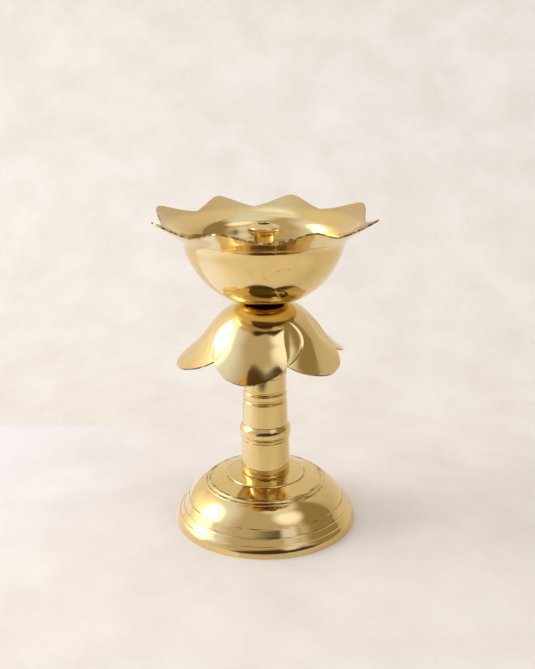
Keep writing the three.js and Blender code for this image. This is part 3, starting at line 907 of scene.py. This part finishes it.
def from_axis(tree, place):
    """How far from the lamp's axis a place is, and how high."""
    parts = add_node(tree, "SeparateXYZ", {}, {"Vector": place}).outputs
    flat = add_node(tree, "CombineXYZ", {}, {"X": parts["X"], "Y": parts["Y"]})
    radius = add_node(tree, "VectorMath", {"operation": "LENGTH"}, {"Vector": flat})
    return radius, parts["Z"]


def turning_lines(tree, place):
    """Fine rings that the lathe and the polishing cloth leave: 0.35 mm apart so that they show."""
    radius, height = from_axis(tree, place)
    way = add_node(tree, "Math", {"operation": "SUBTRACT"}, {0: radius, 1: height})
    rings = add_node(tree, "TexNoise", {"noise_dimensions": "1D"}, {
        "W": way, "Scale": 1 / (0.35 * MM), "Detail": 2.0,
    })
    return rings


def buffing_lines(tree, place):
    """Short strokes of the buffing wheel: 0.4 mm wide and about 12 mm long."""
    stretched = add_node(tree, "Mapping", {}, {
        "Vector": place, "Rotation": (0.5, 0.3, 0.9), "Scale": (30.0, 1.0, 6.0),
    })
    strokes = add_node(tree, "TexNoise", {}, {
        "Vector": stretched, "Scale": 1 / (12 * MM), "Detail": 3.0,
    })
    return strokes


def close_shader(tree, tone, roughness, normal=None, metallic=1.0):
    inputs = {"Base Color": tone, "Metallic": metallic, "Roughness": roughness}
    if normal:
        inputs["Normal"] = normal
    shader = add_node(tree, "BsdfPrincipled", {}, inputs)
    add_node(tree, "OutputMaterial", {}, {"Surface": shader})


def close_glow(tree, tone):
    glow = add_node(tree, "Emission", {}, {"Color": tone})
    add_node(tree, "OutputMaterial", {}, {"Surface": glow})


def cast_brass():
    """Cast brass, skimmed on a lathe and buffed: a bright mirror with slow waves and a few pits."""
    material, tree, place = new_material("cast brass, turned and buffed")
    if tree:
        base = bpy.context.scene.diya_base
        # Heights of the grooves, which are darkened with polish left in them and with painted shade
        grooves = [
            base.band_top[1] + base.groove / 2,
            base.upper_band_top[1] + base.step / 4,
            base.dome_top[1] + base.bead_rise + 0.15 * MM,
            base.second_bead[1] + base.bead_rise,
            base.crown_bead[1],
        ]
        tone, rough, normal = polished(
            tree, place, wave_width=14 * MM, wave_height=0.02 * MM, haze=0.09,
            lines=turning_lines(tree, place), pit_share=0.46, grooves=grooves,
        )
        close_shader(tree, tone, rough, normal)
    return material


def turned_brass():
    """Turned brass bar, buffed on the lathe: a clear mirror crossed by very fine rings."""
    material, tree, place = new_material("turned brass bar, buffed")
    if tree:
        stem = bpy.context.scene.diya_stem
        # Heights of the grooves, which are darkened with polish left in them and with painted shade
        grooves = [
            stem.foot[1] + 0.2 * MM,
            stem.barrel_top[1],
            stem.low_bead_top[1],
            stem.taper_foot[1],
            halfway(stem.taper_top, stem.ridge_foot)[1],
            halfway(stem.ridge_top, stem.neck_foot)[1],
            stem.neck_top[1],
            stem.collar_top[1],
        ]
        tone, rough, normal = polished(
            tree, place, wave_width=20 * MM, wave_height=0.01 * MM, haze=0.08,
            lines=turning_lines(tree, place), pit_share=0.42, grooves=grooves,
        )
        close_shader(tree, tone, rough, normal)
    return material


def sheet_brass():
    """Pressed sheet brass, buffed by hand: a mirror that wavers where the hammer smoothed it."""
    material, tree, place = new_material("sheet brass, pressed and buffed")
    if tree:
        tone, rough, normal = polished(
            tree, place, wave_width=9 * MM, wave_height=0.03 * MM, haze=0.09,
            lines=buffing_lines(tree, place), pit_share=0.5,
        )
        close_shader(tree, tone, rough, normal)
    return material


def bowl_brass():
    """The bowl's sheet brass: mirror outside and in the bowl, duller on the petals' upper faces."""
    material, tree, place = new_material("sheet brass, spun and buffed")
    if tree is None:
        return material
    added_haze = 0.16
    dulling = 0.75
    sizes = bpy.context.scene.diya_bowl
    looks = bpy.context.scene.diya_looks
    tone, rough, normal = polished(
        tree, place, wave_width=11 * MM, wave_height=0.02 * MM, haze=0.09,
        lines=buffing_lines(tree, place), pit_share=0.52,
    )
    radius, _ = from_axis(tree, place)
    outer = add_node(tree, "MapRange", {"interpolation_type": "SMOOTHSTEP"}, {
        "Value": radius, "From Min": sizes.notch_radius - 4 * MM,
        "From Max": sizes.notch_radius + 0.5 * MM,
    })
    geometry = add_node(tree, "NewGeometry")
    direction = add_node(tree, "SeparateXYZ", {}, {"Vector": geometry.outputs["True Normal"]})
    upper = add_node(tree, "Math", {"operation": "GREATER_THAN"}, {
        0: direction.outputs["Z"], 1: 0.0,
    })
    on_petals = add_node(tree, "Math", {"operation": "MULTIPLY"}, {0: outer, 1: upper})
    duller = add_node(tree, "Math", {"operation": "MULTIPLY_ADD"}, {
        0: on_petals, 1: added_haze, 2: rough,
    })
    wiped = add_node(tree, "Math", {"operation": "MULTIPLY"}, {0: on_petals, 1: dulling})
    dulled = add_node(tree, "Mix", {"data_type": "RGBA", "blend_type": "DARKEN"}, {
        "Factor": wiped, "A": tone, "B": looks.brass_dull,
    })
    close_shader(tree, dulled, duller, normal)
    return material


def cut_edge_brass():
    """The sheet's cut edge: filed and only half polished, bright on its nicks and brown between."""
    material, tree, place = new_material("sheet brass, cut and filed")
    if tree is None:
        return material
    looks = bpy.context.scene.diya_looks
    nicks = add_node(tree, "TexNoise", {}, {
        "Vector": place, "Scale": 1 / (2.2 * MM), "Detail": 3.0,
    })
    browned = add_node(tree, "MapRange", {}, {
        "Value": nicks, "From Min": 0.45, "From Max": 0.55, "To Min": 0.05, "To Max": 0.85,
    })
    tone = add_node(tree, "Mix", COLOURS, {
        "Factor": browned, "A": looks.brass_dull, "B": looks.tarnish,
    })
    bump = add_node(tree, "Bump", {}, {"Strength": 1.0, "Distance": 0.1 * MM, "Height": nicks})
    close_shader(tree, tone, 0.3, bump)
    return material


def grained(tree, place, width, detail, colours, roughness, depth, metallic):
    """A surface whose tone, roughness and relief all follow one grain."""
    grain = add_node(tree, "TexNoise", {}, {"Vector": place, "Scale": 1 / width, "Detail": detail})
    tone = add_node(tree, "Mix", COLOURS, {"Factor": grain, "A": colours[0], "B": colours[1]})
    rough = add_node(tree, "MapRange", {}, {
        "Value": grain, "To Min": roughness[0], "To Max": roughness[1],
    })
    bump = add_node(tree, "Bump", {}, {"Strength": 1.0, "Distance": depth, "Height": grain})
    close_shader(tree, tone, rough, bump, metallic)


def zinced_steel():
    """Zinc-plated steel: cool grey, half bright, with the cloudy grain of the plating."""
    material, tree, place = new_material("zinc-plated steel")
    if tree:
        colours = (bpy.context.scene.diya_looks.zinc, linear("#9EA1A4"))
        grained(
            tree, place, width=1.2 * MM, detail=4.0, colours=colours, roughness=(0.25, 0.5),
            depth=0.004 * MM, metallic=1.0,
        )
    return material


def red_fibre():
    """Vulcanised fibre: a matt dark red board with short flecks."""
    material, tree, place = new_material("red vulcanised fibre")
    if tree:
        colours = (bpy.context.scene.diya_looks.fibre, linear("#5E2219"))
        grained(
            tree, place, width=0.5 * MM, detail=3.0, colours=colours, roughness=(0.7, 0.9),
            depth=0.02 * MM, metallic=0.0,
        )
    return material


def plaster():
    """Trowelled lime plaster: pale, with a slight sheen, soft strokes, ridges and fine grit."""
    material, tree, place = new_material("pale trowelled plaster")
    if tree is None:
        return material
    looks = bpy.context.scene.diya_looks
    strokes = add_node(tree, "TexNoise", {}, {
        "Vector": place, "Scale": 1 / (48 * MM), "Detail": 7.0, "Roughness": 0.58,
    })
    ridges = add_node(tree, "TexNoise", {"noise_type": "RIDGED_MULTIFRACTAL"}, {
        "Vector": place, "Scale": 1 / (90 * MM), "Detail": 3.0, "Roughness": 0.5,
    })
    grit = add_node(tree, "TexNoise", {}, {"Vector": place, "Scale": 1 / (1.6 * MM), "Detail": 2.0})
    shaded = add_node(tree, "MapRange", {}, {"Value": strokes, "From Min": 0.35, "From Max": 0.65})
    tone = add_node(tree, "Mix", COLOURS, {
        "Factor": shaded, "A": looks.plaster, "B": looks.plaster_shade,
    })
    normal = None
    for height, depth in ((strokes, 0.9 * MM), (ridges, 0.5 * MM), (grit, 0.06 * MM)):
        inputs = {"Strength": 1.0, "Distance": depth, "Height": height}
        if normal:
            inputs["Normal"] = normal
        normal = add_node(tree, "Bump", {}, inputs)
    close_shader(tree, tone, 0.38, normal, metallic=0.0)
    return material


def shade_standin_felt():
    """Dark brown, quite matt felt with its fibres' mottle, which stands in as painted shade for the
    dark floor and room in front.
    """
    material, tree, place = new_material("dark felt standing in for shade")
    if tree is None:
        return material
    fibres = add_node(tree, "TexNoise", {}, {"Vector": place, "Scale": 1 / (6 * MM), "Detail": 3.0})
    tone = add_node(tree, "Mix", COLOURS, {
        "Factor": fibres, "A": linear("#43392F"), "B": linear("#54483C"),
    })
    close_shader(tree, tone, 1.0, metallic=0.0)
    return material


def painted_sheen_card_cloth(centre, core, radius):
    """A card's cloth that glows by itself: a painted pool of window light in the middle, as pale as
    the plaster at its rim.
    """
    material, tree, place = new_material("card cloth with painted sheen")
    if tree is None:
        return material
    distance = add_node(tree, "VectorMath", {"operation": "DISTANCE"}, {0: place, 1: centre})
    share = add_node(tree, "MapRange", {"interpolation_type": "SMOOTHSTEP"}, {
        "Value": distance, "From Min": core, "From Max": radius,
    })
    # Painted highlight: the window's sheen on the floor, as a glow
    sunlit = brightened("#DDE1FF", 1.6)
    tone = add_node(tree, "Mix", COLOURS, {"Factor": share, "A": sunlit, "B": linear("#FAEFE6")})
    close_glow(tree, tone)
    return material


def painted_reflection_cloth(glows, middle):
    """Tent cloth that glows by itself, with soft round glows and shades painted on it as the
    reflections of lamps, a window, walls and a dark floor.
    """
    material, tree, place = new_material("tent cloth painted with reflections")
    if tree is None:
        return material
    looks = bpy.context.scene.diya_looks
    outward = add_node(tree, "VectorMath", {"operation": "SUBTRACT"}, {0: place, 1: middle})
    direction = add_node(tree, "VectorMath", {"operation": "NORMALIZE"}, {0: outward})
    tone = looks.tent
    # Each painted glow or shade of a reflection is laid over the cloth's own glow
    for azimuth, elevation, core, reach, hex_code, brightness in glows.values():
        level = math.radians(elevation)
        centre = on_circle(math.cos(level), math.radians(azimuth), math.sin(level))
        closeness = add_node(tree, "VectorMath", {"operation": "DOT_PRODUCT"}, {
            0: direction, 1: centre,
        })
        share = add_node(tree, "MapRange", {"interpolation_type": "SMOOTHSTEP"}, {
            "Value": closeness, "From Min": math.cos(math.radians(reach)),
            "From Max": math.cos(math.radians(core)),
        })
        tone = add_node(tree, "Mix", COLOURS, {
            "Factor": share, "A": tone, "B": brightened(hex_code, brightness),
        })
    close_glow(tree, tone)
    return material


# The studio

CAMERA_PLACE = (1.48 * MM, -485.35 * MM, 256.62 * MM)
CAMERA_PITCH = math.radians(17.214)
CAMERA_ROLL = math.radians(-0.286)
CAMERA_LENS = 51.24
CAMERA_SENSOR = 36.0


class DIYA_OT_stage(bpy.types.Operator):
    """Makes the plaster floor and wall, the soft lamps, the world and the camera"""

    bl_idname = "diya.stage"
    bl_label = "Studio"

    # Each softbox: azimuth and elevation in degrees, width and height in metres, brightness
    # against a white surface
    SOFTBOXES = {
        "window": (-91, 24, 1.65, 2.0, 3.4),
        "window glow": (-92, 30, 3.1, 2.5, 1.0),
        "front softbox": (45, 41, 0.42, 2.6, 1.7),
        "high softbox": (100, 75, 0.9, 0.7, 1.6),
    }
    # Each glow or shade painted on the tent, which the brass shows as a reflection: azimuth,
    # elevation, even core and soft reach in degrees, colour and brightness; later ones lie over
    # earlier ones
    PAINTED_REFLECTIONS = {
        "front wall": (-10, 52, 36, 58, "#CABEB2", 1.0),
        "dark corner": (112, 18, 42, 58, "#A09074", 1.0),
        "dark floor line": (14, -36, 56, 69, "#4A3F34", 1.0),
        "low right glow": (33, 24, 4, 14, "#E0E2FF", 1.25),
        "right glow": (47, 54, 4, 22, "#E0E3FF", 1.85),
        "overhead glow": (90, 80, 6, 22, "#D4DFFF", 1.4),
        "rear glow": (-165, 67, 5, 15, "#D4DFFF", 2.0),
        "window halo": (-99, 32, 16, 46, "#D2DBFF", 1.55),
        "window foot": (-97, 12, 7, 21, "#EAF0FF", 2.7),
        "window": (-97, 28, 8, 24, "#EAF0FF", 4.4),
    }
    # The card's centre on the floor, its even core and its radius, in metres
    CARD_PLACE = (-0.2, 0.05, 0.3 * MM)
    CARD_CORE = 0.05
    CARD_RADIUS = 0.21
    # The mat's corners on the floor
    MAT_CORNERS = ((-0.22, -0.23), (0.2, -0.36), (2.2, -0.5), (2.2, -2.2), (-1.6, -2.2))
    MAT_HEIGHT = 0.2 * MM
    LAMP_DISTANCE = 2.4
    TENT_RADIUS = 2.3
    MIDDLE = Vector((0, 0, 80 * MM))

    def execute(self, context):
        self.make_sheet()
        for name, setting in self.SOFTBOXES.items():
            self.make_lamp(name, *setting)
        self.make_painted_reflection_tent()
        self.make_painted_shade_mat()
        self.make_painted_sheen_card()
        self.make_world(context)
        self.make_camera(context)
        context.scene.view_settings.view_transform = "Standard"
        return {"FINISHED"}

    def make_sheet(self):
        """A floor that bends up into a wall behind the lamp, as one sheet."""
        half_width = 3.4
        front, back, top = -2.6, 0.62, 2.4
        bend = 0.5
        mesh = bmesh.new()
        line = [(front, 0.0), (back, 0.0), (back, top)]
        points = [mesh.verts.new((-half_width, y, z)) for y, z in line]
        for pair in zip(points, points[1:]):
            mesh.edges.new(pair)
        round_corners(mesh, [points[1]], bend, segments=24)
        side = bmesh.ops.extrude_edge_only(mesh, edges=mesh.edges[:])
        moving = [part for part in side["geom"] if isinstance(part, bmesh.types.BMVert)]
        bmesh.ops.translate(mesh, verts=moving, vec=(2 * half_width, 0, 0))
        facing(mesh, upwards=True)
        self.staged("plaster_sheet", mesh, plaster())

    def staged(self, name, mesh, material):
        for face in mesh.faces:
            face.smooth = True
        data = bpy.data.meshes.new(name)
        mesh.to_mesh(data)
        mesh.free()
        data.materials.append(material)
        thing = bpy.data.objects.new(name, data)
        bpy.context.scene.collection.objects.link(thing)
        return thing

    def show_only_in_mirrors(self, thing):
        thing.visible_camera = False
        thing.visible_diffuse = False
        thing.visible_shadow = False

    def make_painted_reflection_tent(self):
        """A round tent of glowing cloth with painted reflections, which only the brass and the
        plaster's sheen mirror.
        """
        mesh = bmesh.new()
        bmesh.ops.create_uvsphere(mesh, u_segments=64, v_segments=32, radius=self.TENT_RADIUS)
        bmesh.ops.bisect_plane(
            mesh,
            geom=mesh.verts[:] + mesh.edges[:] + mesh.faces[:],
            plane_co=(0, 0, 0),
            plane_no=(0, 0, 1),
            clear_inner=True,
        )
        tent = self.staged("painted_reflection_tent", mesh, painted_reflection_cloth(self.PAINTED_REFLECTIONS, self.MIDDLE))
        self.show_only_in_mirrors(tent)

    def make_painted_shade_mat(self):
        """A dark felt sheet on the floor in front of the lamp, put there as painted shade for the
        dark floor and room beyond, which only the brass mirrors.
        """
        mesh = bmesh.new()
        mesh.faces.new([mesh.verts.new((x, y, self.MAT_HEIGHT)) for x, y in self.MAT_CORNERS])
        facing(mesh, upwards=True)
        mat = self.staged("painted_shade_mat", mesh, shade_standin_felt())
        self.show_only_in_mirrors(mat)

    def make_painted_sheen_card(self):
        """A round glowing card on the floor, painted with the window's sheen on the plaster, which
        only the brass mirrors.
        """
        mesh = bmesh.new()
        bmesh.ops.create_circle(mesh, cap_ends=True, segments=64, radius=self.CARD_RADIUS)
        bmesh.ops.translate(mesh, verts=mesh.verts, vec=self.CARD_PLACE)
        facing(mesh, upwards=True)
        cloth = painted_sheen_card_cloth(self.CARD_PLACE, self.CARD_CORE, self.CARD_RADIUS)
        card = self.staged("painted_sheen_card", mesh, cloth)
        self.show_only_in_mirrors(card)

    def make_lamp(self, name, azimuth, elevation, width, height, brightness):
        """A softbox that faces the lamp's middle and lights the plaster through the tent."""
        data = bpy.data.lights.new(name, "AREA")
        data.shape = "RECTANGLE"
        data.size, data.size_y = width, height
        data.energy = brightness * math.pi * width * height
        data.color = linear("#FBFCFF")[:3]
        lamp = bpy.data.objects.new(name, data)
        bpy.context.scene.collection.objects.link(lamp)
        lamp.visible_glossy = False
        out = self.LAMP_DISTANCE * math.cos(math.radians(elevation))
        up = self.LAMP_DISTANCE * math.sin(math.radians(elevation))
        lamp.location = self.MIDDLE + on_circle(out, math.radians(azimuth), up)
        lamp.rotation_euler = (self.MIDDLE - lamp.location).to_track_quat("-Z", "Y").to_euler()

    def make_world(self, context):
        world = bpy.data.worlds.new("pale studio")
        world.use_nodes = True
        tree = world.node_tree
        tree.nodes.clear()
        colours = {"Color": context.scene.diya_looks.studio, "Strength": 1.0}
        background = add_node(tree, "Background", {}, colours)
        add_node(tree, "OutputWorld", {}, {"Surface": background})
        context.scene.world = world

    def make_camera(self, context):
        data = bpy.data.cameras.new("camera")
        data.sensor_fit = "VERTICAL"
        data.sensor_height = CAMERA_SENSOR
        data.lens = CAMERA_LENS
        data.clip_start = 0.01
        camera = bpy.data.objects.new("camera", data)
        context.scene.collection.objects.link(camera)
        pitch = Matrix.Rotation(math.pi / 2 - CAMERA_PITCH, 4, "X")
        camera.matrix_world = (
            Matrix.Translation(CAMERA_PLACE) @ pitch @ Matrix.Rotation(CAMERA_ROLL, 4, "Z")
        )
        context.scene.camera = camera


# The sidebar


class DIYA_PT_panel(bpy.types.Panel):
    """Lists the lamp's pieces, with their sizes and colours"""

    bl_label = "Pedestal diya"
    bl_idname = "DIYA_PT_panel"
    bl_space_type = "VIEW_3D"
    bl_region_type = "UI"
    bl_category = "Diya"

    def draw(self, context):
        for operator in OPERATORS:
            self.layout.operator(operator.bl_idname)
        for name, group in SETTINGS.items():
            box = self.layout.box()
            box.label(text=group.__doc__)
            for setting in group.__annotations__:
                box.prop(getattr(context.scene, name), setting)


SETTINGS = {
    "diya_base": DiyaBaseSizes,
    "diya_stem": DiyaStemSizes,
    "diya_petals": DiyaPetalSizes,
    "diya_bowl": DiyaBowlSizes,
    "diya_wick": DiyaWickSizes,
    "diya_looks": DiyaLooks,
}
OPERATORS = (
    DIYA_OT_base,
    DIYA_OT_stem,
    DIYA_OT_petals,
    DIYA_OT_bowl,
    DIYA_OT_wick,
    DIYA_OT_fixings,
    DIYA_OT_stage,
)


def register():
    for name, group in SETTINGS.items():
        bpy.utils.register_class(group)
        setattr(bpy.types.Scene, name, bpy.props.PointerProperty(type=group))
    for operator in OPERATORS:
        bpy.utils.register_class(operator)
    bpy.utils.register_class(DIYA_PT_panel)


def unregister():
    bpy.utils.unregister_class(DIYA_PT_panel)
    for operator in reversed(OPERATORS):
        bpy.utils.unregister_class(operator)
    for name, group in reversed(SETTINGS.items()):
        delattr(bpy.types.Scene, name)
        bpy.utils.unregister_class(group)


def main():
    register()
    bpy.ops.diya.base()
    bpy.ops.diya.stem()
    bpy.ops.diya.petals()
    bpy.ops.diya.bowl()
    bpy.ops.diya.wick()
    bpy.ops.diya.fixings()
    bpy.ops.diya.stage()


if __name__ == "__main__":
    main()
